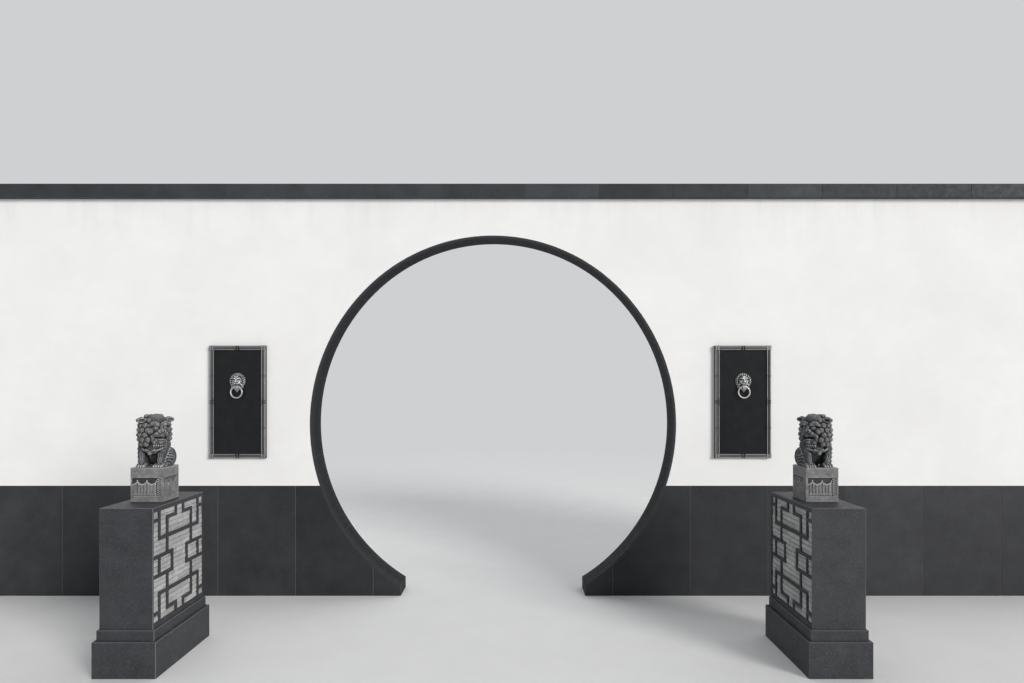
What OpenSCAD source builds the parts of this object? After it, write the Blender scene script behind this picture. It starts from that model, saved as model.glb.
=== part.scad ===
// Moon gate: a plastered garden wall with a round opening lined in dark stone,
// a stone dado and coping, two framed knocker panels, and a pair of pedestals
// that carry seated guardian lions.
// The origin is on the ground, on the gate's axis, at the middle of the footprint.
// The front of the gate looks along -Y.

/* [Wall] */
// Half length of the wall, from the gate's axis to either end
wall_half = 4530; // [3930:600:5130]
// Thickness of the wall over its plaster
wall_t = 240; // [200:5:360]

/* [Dado] */
// Height of the stone dado
dado_h = 850; // [600:10:1000]
// Thickness of a dado slab
dado_t = 20; // [12:1:30]
// Length of a dado slab, joint included
dado_len = 600; // [400:10:800]
// Open width of a joint between slabs
joint_w = 3; // [2:0.5:6]

/* [Coping] */
// Height of the coping slabs
coping_h = 105; // [60:1:160]
// How far the coping stands out past either face of the wall
coping_over = 50; // [20:1:90]
// Length of a coping slab, joint included
coping_len = 570; // [400:5:800]
// Offset of the middle coping slab from the gate's axis
coping_shift = -42; // [-200:1:200]
// Chamfer along the top edges of the coping
coping_edge = 4; // [1:0.5:10]

/* [Opening] */
// Half width of the round opening in the masonry
ring_r = 1415; // [1295:10:1535]
// How much higher than wide the opening is, from its middle up
ring_tall = 44; // [10:1:60]
// How much tighter its arcs run over the crown and the feet than the half width
ring_tight = 37; // [30:1:45]
// Height at which the lowest arc meets the upright ends of the wall
foot_h = 63; // [40:1:120]
// Height of the masonry above the opening, up to the coping
crown_h = 282; // [150:1:600]
// Width of the masonry segments beside the opening
arch_side = 110; // [60:5:200]
// Thickness of the stone lining of the opening
ring_t = 18; // [12:1:30]
// Half width of the walkway between the two feet of the ring
threshold_half = 712; // [600:1:800]
// Number of stones in the lining
ring_stones = 12; // [8:1:16]
// Mortar bed behind the lining
bed = 0.3; // [0.2:0.1:0.9]

/* [Knocker panels] */
// Distance from the opening's edge to a panel's frame
panel_gap = 312; // [240:1:420]
// How far both panels hang to the left of their mirrored places
panel_shift = 19; // [0:1:60]
// Height of the middle of a panel
panel_z = 1498; // [1450:1:1600]
// Width of a panel over its frame
panel_w = 430; // [380:1:520]
// Height of a panel over its frame
panel_h = 866; // [800:1:960]
// Thickness of the board
board_t = 22; // [16:1:24]
// Width of the frame around the board
band_w = 35; // [32:1:42]
// Thickness of the rail that carries the rods
rail_t = 26.5; // [25:0.5:30]
// Radius of a bamboo rod of the frame
rod_r = 4.6; // [4:0.1:5]
// How far the middle of a rod stands in front of the rail
rod_lift = 2; // [1:0.5:4]
// Radius of the rings at the joints of a rod
collar_r = 5.6; // [5.2:0.1:5.7]
// Length of a ring along its rod
collar_len = 5; // [3:0.5:8]
// Distance between the two rings of a pair
collar_pair = 13; // [10:0.5:20]

/* [Knockers] */
// Height of the mask's middle above the panel's middle
mask_rise = 161; // [120:1:200]
// Radius of the mane around the mask
mane_r = 62; // [56:1:66]
// Distance from the mask's middle down to the ring's pivot
pivot_drop = 42.5; // [40:0.5:45]
// Distance from the board's face out to the ring's pivot
pivot_out = 30; // [28:0.5:33]
// Radius of the knocker ring to the middle of its bar
knock_r = 43.5; // [40:0.5:48]
// Radius of the knocker ring's bar
bar_r = 5.5; // [4:0.25:6]
// Play around the bar in the lion's mouth
mouth_play = 0.4; // [0.3:0.1:0.6]
// Half width of the straight part of the mouth
mouth_half = 3; // [2:0.5:4]
// How far the mouth widens towards the cheeks
mouth_flare = 16; // [14:0.5:20]

/* [Pedestals] */
// Distance from the line of the opening's edge to a pedestal's base
pedestal_gap = 397; // [340:1:540]
// How much nearer to the gate the right pedestal stands than the left one
pedestal_near = 15; // [0:1:40]
// Distance from the wall's face to the middle of a pedestal
pedestal_out = 1172; // [800:1:1500]
// Width of the base block
base_w = 356; // [340:1:420]
// Depth of the base block
base_d = 664; // [650:1:760]
// Height of the base block
base_h = 202; // [120:1:260]
// Width of the step above the base block
step_w = 322; // [312:1:338]
// Depth of the step above the base block
step_d = 632; // [622:1:648]
// Height of the step above the base block
step_h = 60; // [30:1:90]
// Width of the pedestal's body
body_w = 300; // [260:1:310]
// Depth of the pedestal's body
body_d = 612; // [596:1:620]
// Height of the pedestal's body, without its top slab
body_h = 661; // [640:1:760]
// Thickness of the pedestal's top slab
slab_t = 15; // [10:1:30]
// Chamfer along the edges of the pedestal's blocks
edge = 3; // [1:0.5:6]

/* [Fretwork] */
// Margin of the fretwork's recess at the pedestal's corners
fret_side = 8; // [6:1:16]
// Margin of the fretwork's recess above and below
fret_rim = 12; // [8:1:20]
// Height of the closed band under the fretwork
fret_foot = 27; // [20:1:40]
// Width of a fretwork bar
fret_bar = 20; // [12:1:24]
// Depth of the fretwork in front of its infill
fret_t = 10; // [6:1:16]
// Thickness of the ribbed infill
infill_t = 6; // [4:1:12]
// Outer uprights, from the middle of the panel
fret_u1 = 232; // [225:1:240]
// Uprights of the tall middle frame
fret_u2 = 144; // [135:1:150]
// Inner uprights of the small squares
fret_u3 = 88; // [80:1:100]
// Short stubs at the top and bottom
fret_u4 = 44; // [40:1:50]
// Height of the outer rails above the middle of the panel
fret_v1 = 262; // [250:1:270]
// Height of the long rails above the middle of the panel
fret_v2 = 156; // [140:1:170]
// Height of the small squares' rails above the middle of the panel
fret_v3 = 54; // [50:1:60]

/* [Lions] */
// Width of the carved block under a lion
plinth_w = 192; // [176:1:210]
// Depth of the carved block under a lion
plinth_d = 189; // [180:1:220]
// Height of the carved block's plain top band
plinth_top_h = 58; // [40:1:80]
// Height of the carved block's draped middle
plinth_mid_h = 114; // [90:1:150]
// Height of the carved block's foot band
plinth_foot_h = 28; // [20:1:50]
// How deep the field behind the drape is sunk
plinth_cut = 6; // [4:0.5:10]
// Margin of the sunk field at the block's corners
plinth_side = 12; // [8:1:20]
// Number of scallops along the top of the drape
scallops = 3; // [3:1:5]
// How far a scallop rises above the cusps beside it
scallop_rise = 16; // [8:1:20]
// Height of the gap between the drape and the top band
drape_gap = 25; // [10:1:40]
// Number of pleats of the drape
pleats = 7; // [5:1:9]
// Height of a lion on its block
lion_h = 317; // [280:1:360]
// Turn of a lion's head towards the gate, in degrees
head_turn = 45; // [0:1:60]

/* [Hidden] */

plaster = "whitesmoke";
stone = "dimgray";
dark_stone = "#2b2d30";
carved_stone = "gray";
silver = "silver";
smooth = 180;
fine = 48;
coarse = 12;
curl_facets = 8;

// The wall's middle plane lies behind the origin by half of what stands in front of it
reach_front = wall_t / 2 + pedestal_out + base_d / 2;
reach_back = wall_t / 2 + coping_over;
wall_y = (reach_front - reach_back) / 2;
wall_front = wall_y - wall_t / 2;
core_t = wall_t - 2 * dado_t;
core_end = wall_half - dado_t;
far = 2 * wall_half;

// Radii and middles of the four arcs: two over the crown and the feet, two at the sides
crown_r = ring_r - ring_tight;
crown_up = ring_tall + ring_tight;
side_r = (pow(ring_r, 2) + pow(crown_up, 2) - pow(crown_r, 2)) / (2 * ring_tight);
side_in = side_r - ring_r;
ring_z = foot_h + crown_up + sqrt(pow(crown_r, 2) - pow(threshold_half, 2));
wall_h = ring_z + ring_r + ring_tall + crown_h;
arch_half = ring_r + arch_side;
dado_first = arch_half - dado_len;

// Angle of the ring's foot below the level of its middle
foot_angle = atan2(ring_z - foot_h, threshold_half);
stone_angle = (180 + 2 * foot_angle) / ring_stones;
joint_angle = joint_w / ring_r * 180 / PI;

coping_w = wall_t + 2 * coping_over;
coping_count = ceil(wall_half / coping_len) + 1;
coping_least = coping_len / 4;
coping_mid = 2.5 * coping_len;
coping_joints = [
  for (k = [-coping_count:coping_count])
    let (x = coping_shift + (k + 0.5) * coping_len)
      if (abs(x) < wall_half - coping_least) x
];
coping_ends = concat([-wall_half], coping_joints, [wall_half]);

dado_count = round((wall_half - dado_first) / dado_len);

panel_x = ring_r + panel_gap + panel_w / 2;
mouth_r = bar_r + mouth_play;
pivot_z = mask_rise - pivot_drop;
pivot_y = -board_t - pivot_out;

pedestal_x = ring_r + pedestal_gap + base_w / 2;
pedestal_y = wall_front - pedestal_out;
body_z = base_h + step_h;
slab_z = body_z + body_h;
plinth_z = slab_z + slab_t;
plinth_h = plinth_foot_h + plinth_mid_h + plinth_top_h;
field_w = plinth_w - 2 * plinth_side;
scallop_half = field_w / scallops / 2;
scallop_r = (pow(scallop_half, 2) + pow(scallop_rise, 2)) / (2 * scallop_rise);
drape_h = plinth_mid_h - drape_gap;
pleat_r = 0.4 * plinth_cut;
lion_z = plinth_z + plinth_h;
// The lion's own shapes are written for this height, then scaled to lion_h
lion_drawn = 317;
recess_d = body_d - 2 * fret_side;
recess_h = body_h - fret_foot - fret_rim;
recess_z = body_z + fret_foot + recess_h / 2;
recess_t = fret_t + infill_t;

// Stands a drawing of the XZ plane upright, from y0 towards the back
module upright(y0, depth) {
  translate([0, y0 + depth, 0])
    rotate([90, 0, 0])
      linear_extrude(height = depth)
        children();
}

// Runs a drawing of the YZ plane along X, from x0 to x1
module along_x(x0, x1) {
  translate([x0, 0, 0])
    rotate([90, 0, 90])
      linear_extrude(height = x1 - x0)
        children();
}

module box_2d(x0, z0, x1, z1) {
  translate([x0, z0])
    square([x1 - x0, z1 - z0]);
}

// A piece of the right half, or its mirror image on the left
module on_side(left) {
  if (left) mirror([1, 0, 0]) children();
  else children();
}

// A block standing on z = 0 with chamfered upright and top edges
module block(w, d, h, chamfer) {
  intersection() {
    linear_extrude(height = h)
      plan(w, d, chamfer);
    along_x(-w / 2, w / 2)
      chamfered(d, h, chamfer);
    rotate([0, 0, 90])
      along_x(-d / 2, d / 2)
        chamfered(w, h, chamfer);
  }
}

// A rectangle in plan with its corners chamfered
module plan(w, d, chamfer) {
  polygon([
    [-w / 2 + chamfer, -d / 2],
    [w / 2 - chamfer, -d / 2],
    [w / 2, -d / 2 + chamfer],
    [w / 2, d / 2 - chamfer],
    [w / 2 - chamfer, d / 2],
    [-w / 2 + chamfer, d / 2],
    [-w / 2, d / 2 - chamfer],
    [-w / 2, -d / 2 + chamfer]
  ]);
}

module chamfered(w, h, chamfer) {
  polygon([
    [-w / 2, 0],
    [w / 2, 0],
    [w / 2, h - chamfer],
    [w / 2 - chamfer, h],
    [-w / 2 + chamfer, h],
    [-w / 2, h - chamfer]
  ]);
}

// The round opening, drawn in by an inset from the masonry's face: a cap of tighter
// arc above and below, and two flatter arcs in the band between them
module oval(inset) {
  turn = (crown_r - inset) / norm([side_in, crown_up]);
  end_z = (1 + turn) * crown_up;
  translate([0, ring_z]) {
    intersection() {
      translate([side_in, 0])
        circle(r = side_r - inset, $fn = smooth);
      translate([-side_in, 0])
        circle(r = side_r - inset, $fn = smooth);
      box_2d(-far, -end_z, far, end_z);
    }
    for (m = [0, 1])
      mirror([0, m])
        intersection() {
          translate([0, crown_up])
            circle(r = crown_r - inset, $fn = smooth);
          box_2d(-far, end_z, far, far);
        }
  }
}

// The round opening with a straight-sided walkway under it
module opening(half_w) {
  oval(0);
  box_2d(-half_w, -ring_z, half_w, ring_z);
}

// Masonry with its plaster, rebated for the dado on both faces
module masonry() {
  difference() {
    upright(wall_front, wall_t)
      children();
    for (y = [wall_front - dado_t, wall_front + wall_t - dado_t])
      translate([-far / 2, y, -dado_h])
        cube([far, 2 * dado_t, 2 * dado_h]);
  }
}

module wall_panel() {
  color(plaster) {
    masonry() {
      box_2d(arch_half, 0, core_end, dado_h);
      box_2d(arch_half, dado_h, wall_half, wall_h);
    }
  }
}

// The part of the arch masonry that lies inside the sector drawn by children
module arch_stone() {
  color(plaster) masonry()
    intersection() {
      difference() {
        box_2d(0, 0, arch_half, wall_h);
        opening(threshold_half + ring_t);
      }
      children();
    }
}

module arch_low() {
  arch_stone()
    box_2d(0, 0, far, ring_z);
}

module arch_high() {
  arch_stone()
    translate([0, ring_z])
      polygon([[0, 0], [far, 0], [far, far]]);
}

module arch_crown() {
  arch_stone()
    translate([0, ring_z])
      polygon([[0, 0], [far, far], [0, far]]);
}

// One dado slab between two distances from the axis, with its joints cut off
module dado_slab(x0, x1) {
  difference() {
    box_2d(x0 + joint_w / 2, 0, x1 - joint_w / 2, dado_h);
    opening(threshold_half);
  }
}

// The whole slabs of one face, with the end slab that closes the wall's end
module dado_run(y) {
  upright(y, dado_t)
    for (i = [1:dado_count - 1]) {
      last = i == dado_count - 1;
      x1 = last ? wall_half + joint_w / 2 : dado_first + (i + 1) * dado_len;
      dado_slab(dado_first + i * dado_len, x1);
    }
}

module dado_end() {
  translate([core_end, wall_front + dado_t + joint_w, 0])
    cube([dado_t, core_t - joint_w, dado_h]);
}

// The two slabs of one face that are cut to the opening
module dado_arch(y) {
  upright(y, dado_t) {
    dado_slab(dado_first, dado_first + dado_len);
    dado_slab(0, dado_first);
  }
}

module dado_arch_front() {
  color(dark_stone)
    dado_arch(wall_front);
}

module dado_arch_back() {
  color(dark_stone)
    dado_arch(wall_front + wall_t - dado_t);
}

module dado_front() {
  color(dark_stone) {
    dado_run(wall_front);
    dado_end();
  }
}

module dado_back() {
  color(dark_stone) {
    dado_run(wall_front + wall_t - dado_t);
  }
}

// One curved stone of the lining, between two angles from the level of the centre
module ring_stone(a0, a1) {
  upright(wall_front, wall_t)
    difference() {
      intersection() {
        difference() {
          oval(bed);
          oval(ring_t);
        }
        translate([0, ring_z])
          polygon([
            [0, 0],
            [far * cos(a0), far * sin(a0)],
            [far * cos((a0 + a1) / 2), far * sin((a0 + a1) / 2)],
            [far * cos(a1), far * sin(a1)]
          ]);
      }
      box_2d(-threshold_half, -ring_z, threshold_half, ring_z);
    }
}

// Stones first to last of the lining, counted from the right foot
module ring_run(first, last) {
  for (i = [first:last]) {
    a0 = -foot_angle + i * stone_angle;
    spare = i == 0 ? stone_angle : 0;
    ring_stone(a0 + joint_angle / 2 - spare, a0 + stone_angle - joint_angle / 2);
  }
}

// The slab that closes the end of the wall between the two dado faces
module ring_foot() {
  upright(wall_front + dado_t, core_t)
    difference() {
      box_2d(threshold_half, 0, threshold_half + ring_t, ring_z);
      oval(0);
    }
}

module ring_side() {
  color(dark_stone) {
    ring_run(0, floor(ring_stones / 3) - 1);
    ring_foot();
  }
}

module ring_top() {
  color(dark_stone) {
    ring_run(floor(ring_stones / 3), ring_stones - floor(ring_stones / 3) - 1);
  }
}

// Coping slabs whose middles lie between two distances from the axis
module coping(from, to) {
  color(dark_stone) {
    for (i = [0:len(coping_ends) - 2]) {
      x0 = coping_ends[i];
      x1 = coping_ends[i + 1];
      middle = (x0 + x1) / 2;
      start = i == 0 ? x0 : x0 + joint_w / 2;
      end = i == len(coping_ends) - 2 ? x1 : x1 - joint_w / 2;
      if (middle > from && middle <= to)
        along_x(start, end)
          translate([wall_y, wall_h])
            chamfered(coping_w, coping_h, coping_edge);
    }
  }
}

// Hangs a piece on the wall's face, at the middle of a panel
module on_panel(left) {
  translate([-panel_shift, 0, 0])
    on_side(left)
      translate([panel_x, wall_front, panel_z])
        children();
}

module panel_board() {
  color("black") {
    inner_w = panel_w - 2 * band_w;
    inner_h = panel_h - 2 * band_w;
    translate([-inner_w / 2, -board_t, -inner_h / 2])
      cube([inner_w, board_t, inner_h]);
  }
}

// Cross-section of a frame side: a rail with three rods laid against it
module rods(r) {
  pitch = (band_w - 2 * collar_r) / 2;
  for (i = [-1:1])
    translate([i * pitch, -rail_t - rod_lift])
      circle(r = r, $fn = fine);
}

module frame_side(length, collars) {
  linear_extrude(height = length, center = true) {
    translate([-band_w / 2, -rail_t])
      square([band_w, rail_t]);
    rods(rod_r);
  }
  for (z = collars)
    translate([0, 0, z])
      linear_extrude(height = collar_len, center = true)
        rods(collar_r);
}

module panel_frame() {
  color(stone) {
    side_x = (panel_w - band_w) / 2;
    side_z = (panel_h - band_w) / 2;
    tall = panel_h - 2 * band_w;
    wide = panel_w - 2 * band_w;
    pair = [-collar_pair / 2, collar_pair / 2];
    block_t = rail_t + rod_lift + collar_r;
    for (s = [-1, 1]) {
      translate([s * side_x, 0, 0])
        frame_side(tall, concat(pair, [-tall / 4, tall / 4]));
      translate([0, 0, s * side_z])
        rotate([0, 90, 0])
          frame_side(wide, pair);
      for (t = [-1, 1])
        translate([s * side_x - band_w / 2, -block_t, t * side_z - band_w / 2])
          cube([band_w, block_t, band_w]);
    }
  }
}

// A cone-ended passage through the mouth, wide enough for the ring in every pose
module mouth() {
  rotate([0, 90, 0]) {
    cylinder(r = mouth_r, h = 4 * mouth_half, center = true, $fn = fine);
    for (m = [0, 1])
      mirror([0, 0, m])
        translate([0, 0, mouth_half])
          cylinder(r1 = mouth_r, r2 = mouth_r + mouth_flare, h = 2 * mouth_flare, $fn = fine);
  }
}

// Tufts of the mane, as a ring of lobes
module mane(count, radius, tuft) {
  circle(r = radius, $fn = fine);
  for (i = [0:count - 1])
    rotate(i * 360 / count)
      translate([radius, 0])
        circle(r = tuft, $fn = fine);
}

module lion_mask() {
  color(silver) {
    translate([0, -board_t, mask_rise])
      difference() {
        union() {
          upright(-10, 10)
            mane(14, mane_r - 13, 13);
          upright(-17, 17)
            mane(12, mane_r - 24, 10);
          ball(36, [0, -4, 2]);
          ball(20, [0, -34, -27]);
          ball(15, [0, -28, -57]);
          ball(11, [0, -24, -77]);
          for (s = [-1, 1]) {
            ball(11, [s * 14, -30, 18]);
            ball(12, [s * 11, -36, -14]);
            ball(12, [s * 40, -16, 30]);
            ball(9, [s * 12, -22, -68]);
          }
        }
        translate([0, -pivot_out, -pivot_drop])
          mouth();
        translate([-far / 2, 0, -far / 2])
          cube([far, far, far]);
      }
  }
}

module ball(r, at) {
  translate(at)
    sphere(r = r, $fn = fine);
}

module knocker_ring() {
  color(silver) {
    translate([0, pivot_y, pivot_z - knock_r])
      rotate([90, 0, 0])
        rotate_extrude($fn = 96)
          translate([knock_r, 0])
            circle(r = bar_r, $fn = fine);
  }
}

module on_pedestal(left) {
  nearer = left ? 0 : pedestal_near;
  on_side(left)
    translate([pedestal_x - nearer, pedestal_y, 0])
      children();
}

module pedestal_base() {
  color(dark_stone) {
    block(base_w, base_d, base_h, edge);
    block(step_w, step_d, base_h + step_h, edge);
  }
}

// The recess on a long side for the infill and the fretwork
module recess(depth) {
  for (s = [-1, 1])
    translate([s * body_w / 2, 0, recess_z])
      cube([2 * depth, recess_d, recess_h], center = true);
}

module pedestal_body() {
  color(dark_stone) {
    difference() {
      translate([0, 0, body_z])
        linear_extrude(height = body_h)
          plan(body_w, body_d, edge);
      recess(recess_t);
    }
  }
}

module pedestal_infill() {
  color(carved_stone) {
    for (s = [-1, 1])
      translate([s * (body_w / 2 - fret_t - infill_t / 2), 0, recess_z])
        cube([infill_t, recess_d, recess_h], center = true);
  }
}

// A bar of the fretwork between two points of its centre lines
module fret(a, b) {
  low = [min(a[0], b[0]) - fret_bar / 2, min(a[1], b[1]) - fret_bar / 2];
  high = [max(a[0], b[0]) + fret_bar / 2, max(a[1], b[1]) + fret_bar / 2];
  translate(low)
    square(high - low);
}

// A quarter of the fretwork, from the middle of the panel to one corner
module fret_quarter() {
  fret([fret_u1, fret_v1], [recess_d, fret_v1]);
  fret([fret_u1, fret_v2], [fret_u1, recess_h]);
  fret([0, fret_v2], [fret_u1, fret_v2]);
  fret([fret_u2, fret_v3], [fret_u2, fret_v1]);
  fret([fret_u4, fret_v1], [fret_u2, fret_v1]);
  fret([fret_u4, fret_v1], [fret_u4, recess_h]);
  fret([fret_u3, fret_v3], [recess_d, fret_v3]);
  fret([fret_u3, 0], [fret_u3, fret_v3]);
  fret([fret_u1, 0], [fret_u1, fret_v3]);
}

module fret_panel() {
  intersection() {
    square([recess_d, recess_h], center = true);
    for (u = [0, 1], v = [0, 1])
      mirror([u, 0])
        mirror([0, v])
          fret_quarter();
  }
}

module pedestal_fretwork() {
  color(dark_stone) {
    for (x = [-body_w / 2, body_w / 2 - fret_t])
      translate([0, 0, recess_z])
        along_x(x, x + fret_t)
          fret_panel();
  }
}

module pedestal_top() {
  color(dark_stone) {
    translate([0, 0, slab_z])
      block(body_w, body_d, slab_t, edge);
  }
}

// The drape in front of the sunk field: a cloth with a scalloped top and upright pleats
module drape() {
  upright(-plinth_d / 2, plinth_cut) {
    box_2d(-field_w / 2, 0, field_w / 2, drape_h - scallop_r);
    for (i = [0:scallops - 1])
      translate([(2 * i + 1 - scallops) * scallop_half, drape_h - scallop_r])
        circle(r = scallop_r, $fn = fine);
  }
}

module pleat_grooves() {
  pitch = field_w / pleats;
  for (i = [1:pleats - 1])
    translate([i * pitch - field_w / 2, -plinth_d / 2, -edge])
      cylinder(r = pleat_r, h = drape_h - scallop_r, $fn = fine);
}

module lion_plinth() {
  color(carved_stone) {
    translate([0, 0, plinth_z]) {
      difference() {
        block(plinth_w, plinth_d, plinth_h, edge);
        for (m = [0, 1])
          mirror([0, m, 0])
            translate([-field_w / 2, -plinth_d / 2 - plinth_cut, plinth_foot_h])
              cube([field_w, 2 * plinth_cut, plinth_mid_h]);
      }
      for (m = [0, 1])
        mirror([0, m, 0])
          translate([0, 0, plinth_foot_h])
            difference() {
              drape();
              pleat_grooves();
            }
    }
  }
}

module lump(r, at) {
  translate(at)
    sphere(r = r, $fn = coarse);
}

// A tapered limb between two lumps
module limb(a, ra, b, rb) {
  hull() {
    lump(ra, a);
    lump(rb, b);
  }
}

// Seated lion on its block: body, haunches, legs, paws and tail
module lion_body() {
  limb([0, 28, 50], 57, [-4, 0, 128], 53);
  lump(38, [-2, -36, 104]);
  limb([0, 82, 42], 16, [0, 78, 98], 14);
  for (s = [-1, 1]) {
    lump(43, [s * 54, 32, 44]);
    limb([s * 66, -10, 14], 17, [s * 68, -44, 11], 13);
    limb([s * 44, -26, 122], 28, [s * 51, -54, 28], 18);
    limb([s * 50, -56, 14], 18, [s * 50, -76, 12], 15);
  }
}

// Head with brow, nose, lips, jaw and ears, looking along -Y
module lion_head() {
  lump(44, [0, -20, 51]);
  limb([0, -60, 27], 13, [0, -80, 1], 14);
  limb([-26, -54, -68], 15, [26, -54, -68], 15);
  limb([0, -61, -74], 17, [0, -64, -95], 10);
  for (s = [-1, 1]) {
    limb([s * 15, -65, 34], 11, [s * 44, -52, 38], 12);
    lump(15, [s * 25, -63, 13]);
    lump(21, [s * 41, -49, -14]);
    limb([s * 9, -74, -22], 12, [s * 40, -57, -38], 11);
    limb([s * 50, 0, 44], 21, [s * 92, -3, 62], 9);
  }
}

// The mane's core, with its curls in rows round the sides and the back
module lion_mane() {
  rows = [[53, 61, 36], [20, 76, -36], [-12, 81, -36], [-44, 80, -36], [-75, 70, -36]];
  limb([0, 12, 18], 73, [0, 12, -30], 79);
  for (row = rows, turn = [row[2]:36:180 - row[2]])
    translate([0, 8, row[0]])
      rotate([0, 0, turn])
        translate([row[1], 0, 0])
          sphere(r = 18, $fn = curl_facets);
}

module guardian_lion() {
  color(stone)
    translate([0, 0, lion_z])
      scale(lion_h / lion_drawn) {
        intersection() {
          lion_body();
          translate([-lion_drawn / 2, -lion_drawn / 2, 0])
            cube(lion_drawn);
        }
        translate([-8, -16, 222])
          rotate([0, 0, -head_turn]) {
            lion_head();
            lion_mane();
          }
      }
}

on_side(true) wall_panel();  // wall_left
on_side(false) wall_panel();  // wall_right
on_side(true) arch_low();  // arch_left_low
on_side(false) arch_low();  // arch_right_low
on_side(true) arch_high();  // arch_left_high
on_side(false) arch_high();  // arch_right_high
on_side(true) arch_crown();  // arch_left_crown
on_side(false) arch_crown();  // arch_right_crown
on_side(true) dado_front();  // dado_front_left
on_side(false) dado_front();  // dado_front_right
on_side(true) dado_back();  // dado_back_left
on_side(false) dado_back();  // dado_back_right
on_side(true) dado_arch_front();  // dado_arch_front_left
on_side(false) dado_arch_front();  // dado_arch_front_right
on_side(true) dado_arch_back();  // dado_arch_back_left
on_side(false) dado_arch_back();  // dado_arch_back_right
on_side(true) ring_side();  // ring_left
on_side(false) ring_side();  // ring_right
ring_top();  // ring_crown
coping(-far, -coping_mid);  // coping_left
coping(-coping_mid, coping_mid);  // coping_centre
coping(coping_mid, far);  // coping_right
on_panel(true) panel_board();  // panel_board_left
on_panel(false) panel_board();  // panel_board_right
on_panel(true) panel_frame();  // panel_frame_left
on_panel(false) panel_frame();  // panel_frame_right
on_panel(true) lion_mask();  // lion_mask_left
on_panel(false) lion_mask();  // lion_mask_right
on_panel(true) knocker_ring();  // knocker_ring_left
on_panel(false) knocker_ring();  // knocker_ring_right
on_pedestal(true) pedestal_base();  // pedestal_base_left
on_pedestal(false) pedestal_base();  // pedestal_base_right
on_pedestal(true) pedestal_body();  // pedestal_body_left
on_pedestal(false) pedestal_body();  // pedestal_body_right
on_pedestal(true) pedestal_infill();  // pedestal_infill_left
on_pedestal(false) pedestal_infill();  // pedestal_infill_right
on_pedestal(true) pedestal_fretwork();  // pedestal_fretwork_left
on_pedestal(false) pedestal_fretwork();  // pedestal_fretwork_right
on_pedestal(true) pedestal_top();  // pedestal_top_left
on_pedestal(false) pedestal_top();  // pedestal_top_right
on_pedestal(true) lion_plinth();  // lion_plinth_left
on_pedestal(false) lion_plinth();  // lion_plinth_right
on_pedestal(true) guardian_lion();  // guardian_lion_left
on_pedestal(false) guardian_lion();  // guardian_lion_right
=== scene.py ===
"""Looks of the garden moon gate: stone, plaster, mortar joints, and the carved and cast pieces."""

from math import atan2, cos, hypot, pi, radians, sin, sqrt

import bmesh
import bpy
import numpy as np
from mathutils import Matrix, Vector

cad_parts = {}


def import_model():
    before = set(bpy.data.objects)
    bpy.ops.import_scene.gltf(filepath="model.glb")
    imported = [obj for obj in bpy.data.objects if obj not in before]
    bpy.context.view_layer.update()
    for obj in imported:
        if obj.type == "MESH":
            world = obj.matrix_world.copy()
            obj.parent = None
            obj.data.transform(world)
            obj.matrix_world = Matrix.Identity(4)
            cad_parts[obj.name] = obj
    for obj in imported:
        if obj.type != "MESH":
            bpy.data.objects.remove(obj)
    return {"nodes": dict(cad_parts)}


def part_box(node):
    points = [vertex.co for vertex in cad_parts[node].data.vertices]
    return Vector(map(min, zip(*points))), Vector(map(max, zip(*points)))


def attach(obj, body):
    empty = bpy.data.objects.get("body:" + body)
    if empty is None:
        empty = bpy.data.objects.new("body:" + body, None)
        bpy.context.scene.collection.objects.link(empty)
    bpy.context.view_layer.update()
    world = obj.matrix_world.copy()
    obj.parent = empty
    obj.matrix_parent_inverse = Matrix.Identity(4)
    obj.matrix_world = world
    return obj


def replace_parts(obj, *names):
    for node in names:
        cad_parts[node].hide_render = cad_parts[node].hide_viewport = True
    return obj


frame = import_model()
stage = bpy.context.scene
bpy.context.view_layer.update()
nodes = frame["nodes"]
BODY = "gate"
SIDES = ("left", "right")

# Sizes that the solids have, in metres
wall_low, wall_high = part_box("wall_left")
WALL_FRONT, WALL_BACK = wall_low.y, wall_high.y
WALL_MIDDLE = (WALL_FRONT + WALL_BACK) / 2
WALL_THICK = WALL_BACK - WALL_FRONT
WALL_HALF = -wall_low.x
WALL_TOP = wall_high.z
# The opening's half width, how much taller than wide it is, and how much tighter its crown is than its sides
RING_HALF = 1.415
RING_TALL = 0.044
RING_TIGHT = 0.037
# The lining's thickness and stones, and its feet at either side of the axis
RING_T = 0.018
STONES = 12
FOOT_X = 0.712
FOOT_H = 0.063
CROWN_R = RING_HALF - RING_TIGHT
CROWN_UP = RING_TALL + RING_TIGHT
SIDE_R = (RING_HALF**2 + CROWN_UP**2 - CROWN_R**2) / (2 * RING_TIGHT)
SIDE_IN = SIDE_R - RING_HALF
RING_Z = FOOT_H + CROWN_UP + sqrt(CROWN_R**2 - FOOT_X**2)
FOOT_ANGLE = atan2(RING_Z - FOOT_H, FOOT_X)
STONE_ANGLE = (pi + 2 * FOOT_ANGLE) / STONES
# Joints, the mortar's depth behind the faces, and the runs of slabs
JOINT = 0.003
SUNK = 0.0015
DADO_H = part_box("dado_front_left")[1].z
DADO_T = 0.020
DADO_LEN = 0.600
DADO_FIRST = RING_HALF + 0.110 - DADO_LEN
COPING_SHIFT = -0.042
COPING_LEN = 0.570
# The panels' frames of three rods, and the masks' height above their middle
BAND_W = 0.035
ROD_PITCH = 0.0119
ROD_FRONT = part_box("panel_frame_left")[0].y + 0.0010
ROD_Y = ROD_FRONT + 0.0046
MASK_RISE = 0.161


# Small helpers


def new_mesh(name, verts, faces):
    mesh = bpy.data.meshes.new(name)
    mesh.from_pydata(verts, [], faces)
    mesh.validate()
    mesh.update()
    return mesh


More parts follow.
